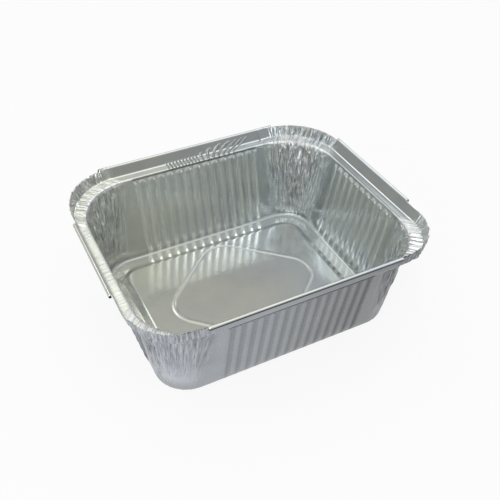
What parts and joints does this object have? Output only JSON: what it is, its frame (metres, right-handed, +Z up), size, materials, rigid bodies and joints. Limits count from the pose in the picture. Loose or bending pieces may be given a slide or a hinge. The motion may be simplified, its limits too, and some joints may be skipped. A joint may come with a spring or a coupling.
{
  "type": "foil food container",
  "caption": "Rectangular foil food container with fluted walls, gathered corners, a raised base panel with a diamond ridge, and a rim with a ledge, a flange and curled beads.",
  "frame": {"origin": "bottom centre of the container's overall size, on the surface that it stands on", "axes": "+X along the long sides, +Z up out of the open top, the front with the pushed-up rim at -Y"},
  "size_m": [0.1468, 0.1265, 0.052],
  "materials": {
    "foil": "rolled foil, satin, with fine wrinkles"
  },
  "bodies": {
    "root": {"foil_container": "foil"}
  },
  "joints": []
}
